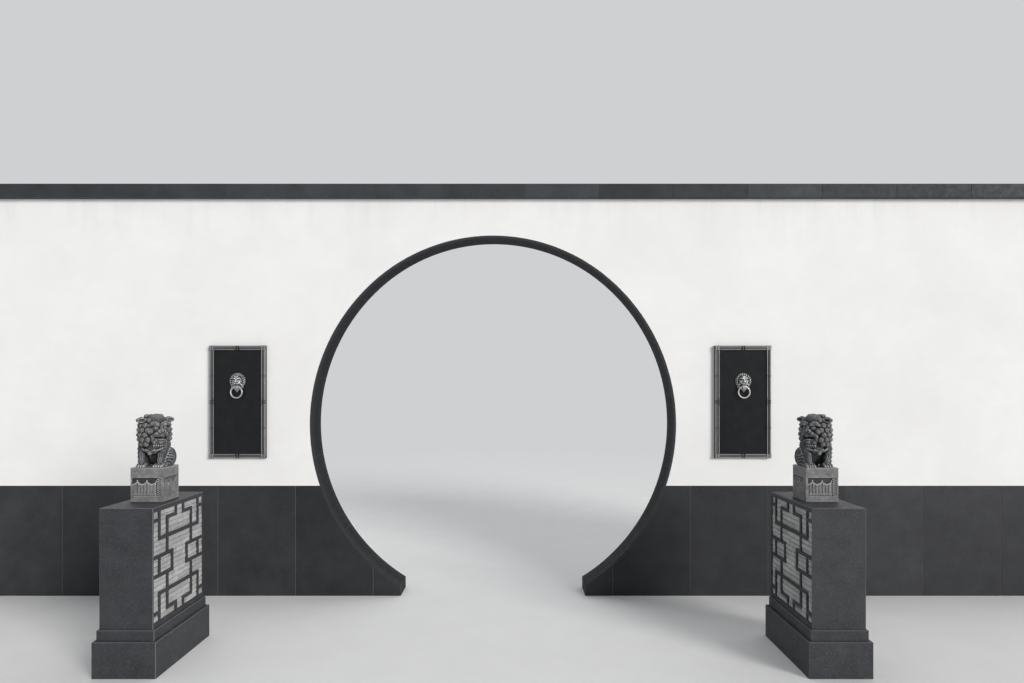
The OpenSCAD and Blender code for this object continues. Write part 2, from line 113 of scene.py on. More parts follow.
def dress(name, mesh, material, smooth=False):
    """A piece on the gate's body, with its material."""
    obj = bpy.data.objects.new(name, mesh)
    stage.collection.objects.link(obj)
    mesh.materials.append(material)
    mesh.polygons.foreach_set("use_smooth", [smooth] * len(mesh.polygons))
    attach(obj, BODY)
    return obj


def boxes(name, parts, material):
    """One piece made of boxes. A part is (matrix, size)."""
    bm = bmesh.new()
    for matrix, size in parts:
        made = bmesh.ops.create_cube(bm, size=1.0)
        bmesh.ops.scale(bm, vec=size, verts=made["verts"])
        bmesh.ops.transform(bm, matrix=matrix, verts=made["verts"])
    mesh = bpy.data.meshes.new(name)
    bm.to_mesh(mesh)
    bm.free()
    dress(name, mesh, material)


def bars(name, ends, r, sides, material):
    """Straight round bars between pairs of points, in one piece."""
    verts, faces = [], []
    for start, end in ends:
        along = (Vector(end) - Vector(start)).normalized()
        across = along.orthogonal().normalized()
        up = along.cross(across)
        low, high = len(verts), len(verts) + sides
        for point in (start, end):
            for k in range(sides):
                angle = 2 * pi * k / sides
                verts.append(tuple(Vector(point) + (across * cos(angle) + up * sin(angle)) * r))
        for k in range(sides):
            j = (k + 1) % sides
            faces.append((low + k, low + j, high + j, high + k))
        faces.append([low + k for k in reversed(range(sides))])
        faces.append([high + k for k in range(sides)])
    dress(name, new_mesh(name, verts, faces), material)


def middle_of(name):
    low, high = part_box(name)
    return (low + high) / 2


def at(x, y, z, turn=0.0):
    """A place, turned about the level axis that runs through the wall."""
    return Matrix.Translation((x, y, z)) @ Matrix.Rotation(turn, 4, "Y")


def ring_reach(angle, inset):
    """Distance from the opening's middle to its edge, which runs in arcs of two radii."""
    level, upright = abs(cos(angle)), abs(sin(angle))
    crown, side = CROWN_R - inset, SIDE_R - inset
    reach = sqrt(side**2 - (upright * SIDE_IN) ** 2) - level * SIDE_IN
    if reach * upright > CROWN_UP * (1 + crown / hypot(SIDE_IN, CROWN_UP)):
        reach = upright * CROWN_UP + sqrt(crown**2 - (level * CROWN_UP) ** 2)
    return reach


def ring_low(x):
    """Height of the opening's lower edge at a distance from the axis."""
    side = sqrt(SIDE_R**2 - (x + SIDE_IN) ** 2)
    crown = CROWN_UP + sqrt(max(CROWN_R**2 - x**2, 0))
    return RING_Z - min(side, crown)


# Materials


class Net:
    """A node tree, with shorthands for adding nodes and feeding their sockets."""

    def __init__(self, tree):
        self.tree = tree

    def feed(self, node, inputs):
        """Gives a node's sockets their links, numbers or colours."""
        for name, value in inputs.items():
            socket = node.inputs[name]
            if isinstance(value, bpy.types.NodeSocket):
                self.tree.links.new(value, socket)
            elif socket.type == "RGBA":
                socket.default_value = (*tint(value), 1)
            else:
                socket.default_value = value

    def node(self, kind, inputs=None, **settings):
        made = self.tree.nodes.new("ShaderNode" + kind)
        for key, value in settings.items():
            setattr(made, key, value)
        self.feed(made, inputs or {})
        return made

    def math(self, operation, *values):
        return self.node("Math", dict(enumerate(values)), operation=operation).outputs[0]


class Look(Net):
    """A principled material, with its patterns in the object's own metres."""

    def __init__(self, name, roughness, metallic=0.0, **sockets):
        self.material = bpy.data.materials.new(name)
        self.material.use_nodes = True
        super().__init__(self.material.node_tree)
        self.shader = self.tree.nodes["Principled BSDF"]
        self.set(Roughness=roughness, Metallic=metallic, **sockets)
        self.place = self.node("TexCoord").outputs["Object"]

    def set(self, **sockets):
        """Feeds the shader. The names have underscores for their spaces."""
        self.feed(self.shader, {name.replace("_", " "): value for name, value in sockets.items()})

    def stretched(self, x, y, z):
        return self.node("Mapping", {"Vector": self.place, "Scale": (x, y, z)}).outputs["Vector"]

    def noise(self, scale, detail, rough=0.55, vector=None):
        inputs = {"Vector": vector or self.place, "Scale": scale, "Detail": detail, "Roughness": rough}
        return self.node("TexNoise", inputs).outputs["Fac"]

    def cells(self, scale):
        return self.node("TexVoronoi", {"Vector": self.place, "Scale": scale}).outputs["Distance"]

    def span(self, value, low, high, to_low=0.0, to_high=1.0):
        inputs = {"Value": value, "From Min": low, "From Max": high, "To Min": to_low, "To Max": to_high}
        return self.node("MapRange", inputs).outputs["Result"]

    def ramp(self, value, *stops):
        node = self.node("ValToRGB", {"Fac": value})
        for element, (where, shade) in zip(node.color_ramp.elements, stops):
            element.position = where
            element.color = (*tint(shade), 1)
        return node.outputs["Color"]

    def mix(self, amount, a, b, blend="MIX"):
        return self.node("Mix", {0: amount, 6: a, 7: b}, data_type="RGBA", blend_type=blend).outputs[2]

    def layer(self, base, shade, value, low, high, to_low, to_high, blend="MIX"):
        """A base with a shade over it, as much as a value calls for."""
        return self.mix(self.span(value, low, high, to_low, to_high), base, shade, blend)

    def axis(self, name):
        return self.node("SeparateXYZ", {0: self.place}).outputs[name]

    def facing(self, name):
        return self.node("SeparateXYZ", {0: self.surface("Normal")}).outputs[name]

    def surface(self, name):
        return self.node("NewGeometry").outputs[name]

    def size(self, value):
        return self.math("ABSOLUTE", value)

    def off(self, value, level):
        """Distance from a level, on either side of it."""
        return self.size(self.math("SUBTRACT", value, level))

    def stored(self, name):
        """A number that a carving's mesh keeps for each point: open_air or crest."""
        return self.node("Attribute", attribute_name=name).outputs["Fac"]

    def tone(self, along, first, length, mirrored=True):
        """A random number for each stone of a run, by where the stone stands."""
        count = self.math("FLOOR", self.math("DIVIDE", self.math("SUBTRACT", along, first), length))
        if mirrored:
            count = self.math("MULTIPLY", self.math("ADD", count, 0.5), self.math("SIGN", self.axis("X")))
        return self.node("TexWhiteNoise", {"W": count}, noise_dimensions="1D").outputs["Value"]

    def colour(self, value):
        self.set(Base_Color=value)

    def rough(self, value, low, high):
        self.set(Roughness=self.span(value, 0.3, 0.7, low, high))

    def relief(self, height, distance, strength, under=None):
        inputs = {"Height": height, "Distance": distance, "Strength": strength}
        if under:
            inputs["Normal"] = under
        normal = self.node("Bump", inputs).outputs["Normal"]
        self.set(Normal=normal)
        return normal


def tint(shade):
    """A grey given as one number, or a colour given as three."""
    return (shade, shade, shade) if isinstance(shade, (int, float)) else shade


def plaster_look():
    look = Look("lime_plaster", 0.85)
    cloud = look.noise(1.6, 5, 0.6)
    trowel = look.noise(9, 4, 0.6, look.stretched(1, 1, 1.7))
    grain = look.noise(420, 3, 0.6)
    base = look.ramp(cloud, (0.32, (0.800, 0.798, 0.790)), (0.68, (0.858, 0.858, 0.855)))
    base = look.layer(base, 0.78, trowel, 0.35, 0.7, 0.0, 0.25)
    streaks = look.noise(7, 5, 0.65, look.stretched(1, 1, 0.08))
    under = look.span(look.axis("Z"), WALL_TOP - 0.35, WALL_TOP)
    soot = look.math("MULTIPLY", look.span(streaks, 0.5, 0.75, 0.0, 0.3), under)
    look.colour(look.mix(soot, base, 0.55))
    look.rough(grain, 0.78, 0.92)
    normal = look.relief(trowel, 0.0016, 0.5)
    look.relief(grain, 0.0005, 0.5, normal)
    return look.material


def dado_run(look):
    return look.tone(look.size(look.axis("X")), DADO_FIRST, DADO_LEN)


def coping_run(look):
    return look.tone(look.axis("X"), COPING_SHIFT - COPING_LEN / 2, COPING_LEN, False)


def lining_run(look):
    rise = look.math("SUBTRACT", look.axis("Z"), RING_Z)
    angle = look.math("ARCTAN2", rise, look.size(look.axis("X")))
    return look.tone(angle, -FOOT_ANGLE, STONE_ANGLE)


def stone_look(name, dark, light, speck_and_rim_highlight, gloss, run, tones,
               cloud_scale=6.0, grain_scale=700.0, mottle=0.25, rim=0.6):
    """Honed stone: slow clouds, a tone for each slab, fine crystals, light specks, and pale rims on the
    chamfers, partly wear and partly painted highlight.
    """
    look = Look(name, gloss, Specular_IOR_Level=0.25)
    cloud = look.noise(cloud_scale, 6, 0.62)
    grain = look.noise(grain_scale, 2, 0.6)
    base = look.ramp(cloud, (0.3, dark), (0.7, light))
    base = look.layer(base, speck_and_rim_highlight, look.noise(85, 3, 0.7), 0.52, 0.72, 0.0, mottle)
    # pale rims on the chamfers, partly wear and partly painted highlight
    if rim:
        flat = look.math("MAXIMUM", *(look.size(look.facing(axis)) for axis in "XY"))
        flat = look.math("MAXIMUM", flat, look.size(look.facing("Z")))
        base = look.layer(base, speck_and_rim_highlight, flat, 0.80, 0.97, rim, 0.0)
    if run:
        base = look.layer(base, 0.0, run(look), 0, 1, 0, tones, "MULTIPLY")
    base = look.layer(base, speck_and_rim_highlight, grain, 0.56, 0.75, 0.0, 0.55)
    fleck = look.span(look.cells(grain_scale * 0.45), 0.0, 0.16, 0.5, 0.0)
    look.colour(look.mix(fleck, base, speck_and_rim_highlight))
    look.rough(look.noise(cloud_scale * 5, 4), gloss - 0.07, gloss + 0.1)
    look.relief(grain, 0.0003, 0.4)
    return look


def ring_look():
    look = stone_look("lining_stone", (0.0075, 0.0083, 0.0103), (0.0145, 0.0157, 0.0189), 0.05, 0.62,
                      lining_run, 0.2, mottle=0.1, rim=0)
    look.set(Specular_IOR_Level=0.08)
    base = look.shader.inputs["Base Color"].links[0].from_socket
    # painted shade: the reveal darker towards the middle of the wall's thickness, paler towards its faces
    depth = look.off(look.axis("Y"), WALL_MIDDLE)
    paler = look.span(depth, 0.15 * WALL_THICK, 0.475 * WALL_THICK, 0.0, 0.4)
    base = look.mix(paler, base, (0.035, 0.036, 0.04))
    # painted light: the lining's front faces painted paler than its soffit
    front = look.span(look.size(look.facing("Y")), 0.8, 0.95)
    look.colour(look.mix(front, base, (0.042, 0.044, 0.048)))
    return look.material


def mortar_look(name, dark, light, scale, detail, rough, strength, **sockets):
    look = Look(name, 0.9, **sockets)
    grain = look.noise(scale, detail, rough)
    look.colour(look.ramp(grain, (0.3, dark), (0.7, light)))
    look.relief(grain, 0.0004, strength)
    return look.material


def lacquer_look():
    look = Look("black_lacquer", 0.2, Specular_IOR_Level=0.2, Coat_Weight=0.08, Coat_Roughness=0.05)
    cloud = look.noise(14, 4, 0.6)
    look.colour(look.ramp(cloud, (0.3, (0.006, 0.007, 0.008)), (0.7, (0.011, 0.012, 0.013))))
    look.rough(look.noise(60, 4, 0.7), 0.16, 0.28)
    look.relief(look.noise(22, 2), 0.0006, 0.25)
    return look.material


def pewter_look():
    """Rods of a matt cast metal, painted black by depth in the grooves between them, as painted shade."""
    look = Look("pewter", 0.4, 0.25)
    wear = look.noise(90, 5, 0.65)
    base = look.ramp(wear, (0.3, (0.23, 0.232, 0.237)), (0.72, (0.36, 0.362, 0.367)))
    low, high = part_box("panel_frame_left")
    half = (high - low) / 2
    middles = [middle_of("panel_frame_" + side) for side in SIDES]
    at_right = look.math("GREATER_THAN", look.axis("X"), 0.0)
    beyond = look.off(look.axis("X"), look.span(at_right, 0.0, 1.0, *(middle.x for middle in middles)))
    above = look.off(look.axis("Z"), middles[0].z)
    # the middle rod is painted darker, as painted shade, more so in the uprights
    for place, reach, middle_rod_shade in ((beyond, half.x, 0.62), (above, half.z, 0.22)):
        off_rod = look.off(place, reach - BAND_W / 2)
        base = look.layer(base, 0.03, off_rod, 0.0045, 0.0062, middle_rod_shade, 0.0)
    # painted shade: the grooves are painted black by depth, but the outermost rod only from its middle back
    rim = 0.0056
    outer = look.math("MAXIMUM", look.math("GREATER_THAN", beyond, half.x - rim),
                      look.math("GREATER_THAN", above, half.z - rim))
    groove = look.span(look.axis("Y"), ROD_FRONT + 0.0002, ROD_FRONT + 0.0014, 0.0, 0.97)
    rail = look.span(look.axis("Y"), ROD_FRONT + 0.0045, ROD_FRONT + 0.0070, 0.0, 0.97)
    gap = look.math("MINIMUM", groove, look.math("MAXIMUM", look.math("SUBTRACT", 1.0, outer), rail))
    look.colour(look.mix(gap, base, 0.006))
    look.rough(look.noise(240, 3), 0.32, 0.5)
    look.relief(look.noise(500, 3), 0.0003, 0.4)
    return look.material


def groove_shade_look():
    # near-black: painted shade of the frames' grooves
    look = Look("pewter_groove_shade", 0.6, 0.2, Specular_IOR_Level=0.2)
    look.colour(look.ramp(look.noise(200, 4), (0.3, 0.004), (0.7, 0.012)))
    look.relief(look.noise(500, 3), 0.0002, 0.4)
    return look.material


def silver_look(name, dark, light, patina):
    """Polished silver. A cast piece keeps its black patina in the hollows."""
    look = Look(name, 0.36, 0.6)
    tarnish = look.noise(130, 4, 0.6)
    base = look.ramp(tarnish, (0.3, dark), (0.6, light))
    if patina:
        base = look.layer(base, (0.18, 0.18, 0.185), look.stored("crest"), 0.0, 0.7, 0.72, 0.0)
        base = look.layer(base, 0.012, look.stored("open_air"), 0.66, 0.96, 0.93, 0.0)
    look.colour(base)
    look.rough(look.noise(300, 3), 0.32, 0.46)
    look.relief(look.noise(420, 2), 0.0002, 0.3)
    return look.material


def ledge_look():
    """Split strips of pale stone, each with a tone of its own and fine level striations."""
    look = Look("ledge_stone", 0.8, Specular_IOR_Level=0.3)
    lines = look.noise(26, 4, 0.6, look.stretched(1, 1, 9))
    fine = look.noise(90, 3, 0.6, look.stretched(1, 1, 5))
    base = look.ramp(look.noise(9, 5, 0.65), (0.3, (0.38, 0.38, 0.385)), (0.7, (0.57, 0.57, 0.565)))
    base = look.layer(base, 0.19, look.surface("Random Per Island"), 0, 1, 0.0, 0.45)
    base = look.layer(base, 0.12, lines, 0.54, 0.68, 0.0, 0.7)
    look.colour(look.layer(base, 0.14, fine, 0.52, 0.70, 0.0, 0.6))
    look.rough(fine, 0.7, 0.9)
    normal = look.relief(lines, 0.0016, 0.8)
    look.relief(fine, 0.0006, 0.6, normal)
    return look.material


def carved_look(name, dark, light, dust_and_highlight):
    """Carved stone whose hollows are painted dark as painted shade and whose ridges are painted pale as
    painted highlight.
    """
    look = Look(name, 0.7, Specular_IOR_Level=0.3)
    grain = look.noise(650, 3, 0.6)
    base = look.ramp(look.noise(24, 5, 0.62), (0.3, dark), (0.7, light))
    base = look.layer(base, dust_and_highlight, look.noise(70, 3, 0.65), 0.5, 0.75, 0.0, 0.5)
    # painted shade in the hollows; painted highlight on the ridges and, palest, on the lion's claws; upward
    # faces paler
    base = look.layer(base, 0.005, look.stored("open_air"), 0.45, 0.95, 0.95, 0.0)
    base = look.layer(base, dust_and_highlight, look.stored("crest"), 0.25, 0.9, 0.0, 0.85)
    base = look.layer(base, dust_and_highlight, look.facing("Z"), 0.3, 0.95, 0.0, 0.35)
    base = look.layer(base, 0.60, look.stored("crest"), 1.1, 2.0, 0.0, 0.8)
    look.colour(look.layer(base, dust_and_highlight, grain, 0.5, 0.75, 0.0, 0.35))
    look.rough(look.noise(60, 4), 0.55, 0.8)
    look.relief(grain, 0.0005, 0.5)
    return look.material


PLASTER = plaster_look()
DADO = stone_look("dado_stone", (0.0232, 0.0246, 0.0277), (0.0394, 0.0415, 0.0458), 0.078, 0.5,
                  dado_run, 0.36).material
LINING = ring_look()
COPING = stone_look("coping_stone", (0.026, 0.0295, 0.0345), (0.048, 0.0535, 0.061), 0.085, 0.6,
                    coping_run, 0.42).material
PEDESTAL = stone_look("pedestal_stone", (0.025, 0.0262, 0.0296), (0.0416, 0.0435, 0.0486),
                      (0.125, 0.129, 0.139), 0.5, None, 0, 9.0, 420.0, 0.32, 0.85).material
GROUT = mortar_look("mortar", 0.11, 0.20, 300, 4, 0.7, 0.6)
LACQUER = lacquer_look()
PEWTER = pewter_look()
GROOVE_SHADE = groove_shade_look()
SILVER = silver_look("silver_ring", (0.36, 0.36, 0.365), (0.56, 0.56, 0.565), False)
CAST_SILVER = silver_look("silver_cast", (0.48, 0.48, 0.485), (0.70, 0.70, 0.705), True)
LEDGE = ledge_look()
LEDGE_JOINT = mortar_look("ledge_joint", 0.05, 0.10, 260, 3, 0.6, 0.5, Specular_IOR_Level=0.2)
PLINTH = carved_look("plinth_stone", (0.125, 0.126, 0.132), (0.28, 0.281, 0.288), 0.52)
LION = carved_look("lion_stone", (0.020, 0.023, 0.029), (0.045, 0.049, 0.057), 0.32)

LOOKS = {
    "wall_": PLASTER, "arch_": PLASTER, "dado_": DADO, "ring_": LINING, "coping_": COPING,
    "panel_board": LACQUER, "panel_frame": PEWTER, "lion_mask": SILVER, "knocker_ring": SILVER,
    "pedestal_infill": LEDGE_JOINT, "pedestal_": PEDESTAL, "lion_plinth": PLINTH, "guardian_lion": LION,
}
for name, obj in nodes.items():
    material = next(look for start, look in LOOKS.items() if name.startswith(start))
    obj.data.materials.clear()
    obj.data.materials.append(material)


# Mortar in the open joints, a little behind the faces


def dado_mortar():
    depth = DADO_T - SUNK
    below_lining = 0.004
    parts = []
    for side in (-1, 1):
        for x in np.arange(DADO_FIRST, WALL_HALF - 0.01, DADO_LEN):
            top = ring_low(x) - below_lining if x < RING_HALF else DADO_H
            for y in (WALL_FRONT + SUNK + depth / 2, WALL_BACK - SUNK - depth / 2):
                parts.append((at(side * x, y, top / 2), (JOINT, depth, top)))
    boxes("dado_mortar", parts, GROUT)


def ring_mortar():
    size = (RING_T - 2 * SUNK, WALL_THICK - 2 * SUNK, JOINT)
    parts = []
    for i in range(1, STONES):
        angle = i * STONE_ANGLE - FOOT_ANGLE
        reach = ring_reach(angle, RING_T / 2)
        x, z = reach * cos(angle), RING_Z + reach * sin(angle)
        parts.append((at(x, WALL_MIDDLE, z, -angle), size))
    boxes("lining_mortar", parts, LEDGE_JOINT)


def coping_mortar():
    low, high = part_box("coping_left")
    middle, size = (low + high) / 2, high - low
    slabs = round(WALL_HALF / COPING_LEN) + 1
    parts = []
    for k in range(-slabs, slabs):
        x = COPING_SHIFT + (k + 0.5) * COPING_LEN
        if abs(x) < WALL_HALF - COPING_LEN / 4:
            parts.append((at(x, middle.y, middle.z), (JOINT, size.y - 3 * SUNK, size.z - 3 * SUNK)))
    boxes("coping_mortar", parts, LEDGE_JOINT)


dado_mortar()
ring_mortar()
coping_mortar()


# Dark bands round the frames' rods and dark lines round their corner blocks, painted shade of the grooves
# there

# Dark marks, painted shade of the grooves at the rods' nodes, as (place, half width), in millimetres from
# the middle of a rod, or of its quarters
MARKS = [(8.0, 3.8), (-8.0, 3.8)]
INNER_MARKS = [(22.5, 2.6), (-22.5, 2.6)]
QUARTER_MARKS = [(-4, 1.4), (4, 1.4)]
GROOVE_R = 0.00575
GROOVE_SIDES = 20


def frame_grooves(side):
    low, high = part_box("panel_frame_" + side)
    middle = (low + high) / 2
    half_x, half_z = (high.x - low.x - BAND_W) / 2, (high.z - low.z - BAND_W) / 2
    quarter = (high.z - low.z - 2 * BAND_W) / 4 * 1000
    quarters = [(sign * quarter + gap, width) for sign in (-1, 1) for gap, width in QUARTER_MARKS]
    bands = []
    for s in (-1, 1):
        for i in (-1, 0, 1):
            inner = INNER_MARKS if i == -1 else []
            x, z = middle.x + s * (half_x + i * ROD_PITCH), middle.z + s * (half_z + i * ROD_PITCH)
            for mark, width in MARKS + inner + quarters:
                ends = [middle.z + (mark + w) * 0.001 for w in (-width, width)]
                bands.append([(x, ROD_Y, end) for end in ends])
            for mark, width in MARKS + [(mark * 0.6, width) for mark, width in inner]:
                ends = [middle.x + (mark + w) * 0.001 for w in (-width, width)]
                bands.append([(end, ROD_Y, z) for end in ends])
    bars("frame_groove_shade_" + side, bands, GROOVE_R, GROOVE_SIDES, GROOVE_SHADE)
    # dark lines of painted shade round the corner blocks, and across them where the middle rod would run
    edge, across, deep = 0.0022, 0.0012, 0.002
    parts = []
    for sx in (-1, 1):
        for sz in (-1, 1):
            x, z = middle.x + sx * half_x, middle.z + sz * half_z
            for e in (-1, 0, 1):
                wide, length = (edge, BAND_W - 0.001) if e else (across, BAND_W / 2)
                shift = e * (BAND_W - wide) / 2
                parts.append((at(x + shift, low.y + 0.0008, z), (wide, deep, length)))
                parts.append((at(x, low.y + 0.0008, z + shift), (length, deep, wide)))
    boxes("corner_line_shade_" + side, parts, GROOVE_SHADE)


for side in SIDES:
    frame_grooves(side)


# The infill's courses of split strips, behind the fretwork

COURSES = 22
STRIP_LENGTHS = (0.09, 0.24)
STRIP_STANDS = (0.0015, 0.0045)
SHORTEST = 0.01
GAP_Y, GAP_Z = 0.0006, 0.0007
CHAMFER_Y, CHAMFER_Z = 0.0012, 0.0022


def strip(plane, out, y0, y1, z0, z1, stand):
    """A strip of stone on a wall, its face a little smaller than its back."""
    back = [(plane, y, z) for y, z in ((y0, z0), (y1, z0), (y1, z1), (y0, z1))]
    front = [(plane + out * stand, y, z) for y, z in (
        (y0 + CHAMFER_Y, z0 + CHAMFER_Z), (y1 - CHAMFER_Y, z0 + CHAMFER_Z),
        (y1 - CHAMFER_Y, z1 - CHAMFER_Z), (y0 + CHAMFER_Y, z1 - CHAMFER_Z))]
    faces = [(0, 3, 2, 1), (4, 5, 6, 7), (0, 1, 5, 4), (1, 2, 6, 5), (2, 3, 7, 6), (3, 0, 4, 7)]
    return back + front, faces if out > 0 else [face[::-1] for face in faces]


def infill(side, seed):
    low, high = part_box("pedestal_infill_" + side)
    random = np.random.default_rng(seed)
    course = (high.z - low.z) / COURSES
    verts, faces = [], []
    for plane, out in ((low.x, -1), (high.x, 1)):
        for row in range(COURSES):
            y = low.y - random.uniform(0.0, 0.12)
            z = low.z + row * course
            while y < high.y:
                length = random.uniform(*STRIP_LENGTHS)
                y0, y1 = max(y, low.y) + GAP_Y, min(y + length, high.y) - GAP_Y
                y += length
                if y1 - y0 < SHORTEST:
                    continue
                stand = random.uniform(*STRIP_STANDS)
                more, sides = strip(plane, out, y0, y1, z + GAP_Z, z + course - GAP_Z, stand)
                faces += [[k + len(verts) for k in face] for face in sides]
                verts += more
    name = "ledge_strips_" + side
    dress(name, new_mesh(name, verts, faces), LEDGE)


infill("left", 3)
infill("right", 4)


# The carved blocks under the lions, in millimetres on each face

CARVE_STEP = 2.0
FIELD_HALF, FIELD_LOW, FIELD_HIGH = 84, 28, 142
PEAKS = 56.0
FOLDS = 18.7
BEADS = 9.6


def off_lines(u, pitch):
    """Distance from the nearest of a row of upright lines, one of them at 0."""
    return np.abs((u / pitch + 0.5) % 1.0 - 0.5) * pitch


def swag(u):
    """Height of the cloth's edge: pinned up at each peak and sagging in between."""
    away = off_lines(u, PEAKS) * 2 / PEAKS
    return 101 + 17 * (1 - away) ** 1.7


def hump(*sides):
    """1 where all the sides are 0, falling off in a curve to 0 where they reach 1."""
    return np.clip(1 - sum(side**2 for side in sides), 0, 1)


def carving(u, z, front):
    """How deep each point of a face lies behind the block's plane."""
    edge = z - swag(u)
    # the cloth's folds, a rope along its edge and a tuft at each peak
    crease = np.clip(1 - off_lines(u, FOLDS) / 2.6, 0, 1)
    folds = 0.7 + 3.0 * crease + 0.35 * np.cos(2 * np.pi * u / 6.2)
    folds *= np.clip((z - 44) / 10, 0.25, 1)
    depth = np.where(edge > 0, 6.0, folds)
    depth = depth * (1 - hump(edge / 4.2)) * (1 - hump(off_lines(u, PEAKS) / 5, (z - 121) / 8))
    # a row of beads under the cloth
    beads = hump(off_lines(u - BEADS / 2, BEADS) / 3.9, (z - 38) / 4.2)
    depth = np.where((z > 32) & (z < 44), 3.0 - 3.0 * np.sqrt(beads), depth)
    # a fall of zigzag folds at one end, with a line beside it
    zigzag = 1.8 + 1.8 * np.sin(2 * np.pi * (z + 5 * np.sin(2 * np.pi * (u - 60) / 24)) / 12.5)
    depth = np.where((u > 60) & (z > 32) & (z < 139), zigzag, depth)
    depth = np.where(np.abs(u - 58.5) < 1.6, 4.0, depth)
    # the plain border, with a line above and below the field
    inside = (np.abs(u) < FIELD_HALF) & (z > FIELD_LOW) & (z < FIELD_HIGH)
    depth = np.where(inside, depth, 0)
    line = sum(np.clip(1 - np.abs(z - level) / 1.8, 0, 1) for level in (147, 27))
    depth = np.maximum(depth, 1.6 * line)
    return depth if front else depth * 0.35


def carved_piece(name, node, verts, faces, room, ridge, material, smooth):
    """A piece that stands for a node. Its material reads how open and how sharp each point is."""
    mesh = new_mesh(name, verts.tolist(), faces)
    for label, values in (("open_air", room), ("crest", ridge)):
        attribute = mesh.attributes.new(label, "FLOAT", "POINT")
        attribute.data.foreach_set("value", values.astype(np.float32).ravel())
    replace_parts(dress(name, mesh, material, smooth), node)


def carved_block(side):
    low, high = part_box("lion_plinth_" + side)
    middle = (low + high) / 2
    half = ((high.x - low.x) * 500, (high.y - low.y) * 500)
    tall = (high.z - low.z) * 1000
    rim = 2.0
    levels = np.concatenate([[0], np.arange(rim, tall - rim + 0.1, CARVE_STEP), [tall]])
    points, depths, fields = [], [], []
    for face in range(4):
        reach, wide = half[1 - face % 2], half[face % 2]
        u = np.arange(-wide + rim, wide - rim + 0.1, CARVE_STEP)
        grid_u, grid_z = np.meshgrid(u, levels)
        depth = carving(grid_u, grid_z, face % 2 == 0)
        depth[[0, -1]] = rim
        turn = face * pi / 2
        out = reach - depth
        x = grid_u * cos(turn) + out * sin(turn)
        y = grid_u * sin(turn) - out * cos(turn)
        points.append(np.stack([x, y, grid_z], -1))
        depths.append(depth)
        sunk = (np.abs(grid_u) < FIELD_HALF - 1) & (grid_z > FIELD_LOW + 1) & (grid_z < FIELD_HIGH - 1)
        fields.append(np.where(sunk, 1.0, 0.2))
    grid, depth, field = (np.concatenate(parts, 1) for parts in (points, depths, fields))
    rows, columns = depth.shape
    # the mean depth within 5 steps and within 1 step of each point, all the way round
    far = 5
    padded = np.pad(np.pad(depth, ((0, 0), (far, far)), "wrap"), ((far, far), (0, 0)), "edge")
    around, near = (
        sum(padded[far + i : far + i + rows, far + j : far + j + columns]
            for i in range(-r, r + 1) for j in range(-r, r + 1)) / (2 * r + 1) ** 2
        for r in (far, 1))
    # open_air falls deeper in the carving, for painted shade in its recesses, and crest rises on its ridges,
    # for painted highlight
    room = np.clip(0.80 + (around - depth) / 5.0 - depth / 14, 0, 1)
    ridge = np.clip((around - depth) / 3.6 + (near - depth) / 2.2, 0, 1) * field
    room[[0, -1]], ridge[[0, -1]] = 0.8, 0.0
    index = np.arange(rows * columns).reshape(rows, columns)
    after = np.roll(index, -1, 1)
    quads = np.stack([index[:-1], after[:-1], after[1:], index[1:]], -1).reshape(-1, 4)
    verts = grid.reshape(-1, 3) * 0.001 + np.array([middle.x, middle.y, low.z])
    faces = quads.tolist() + [index[0, ::-1].tolist(), index[-1].tolist()]
    carved_piece("carved_block_" + side, "lion_plinth_" + side, verts, faces, room, ridge,
                 PLINTH, False)


for side in SIDES:
    carved_block(side)


# Clay: shapes blended on a grid of distances, then skinned


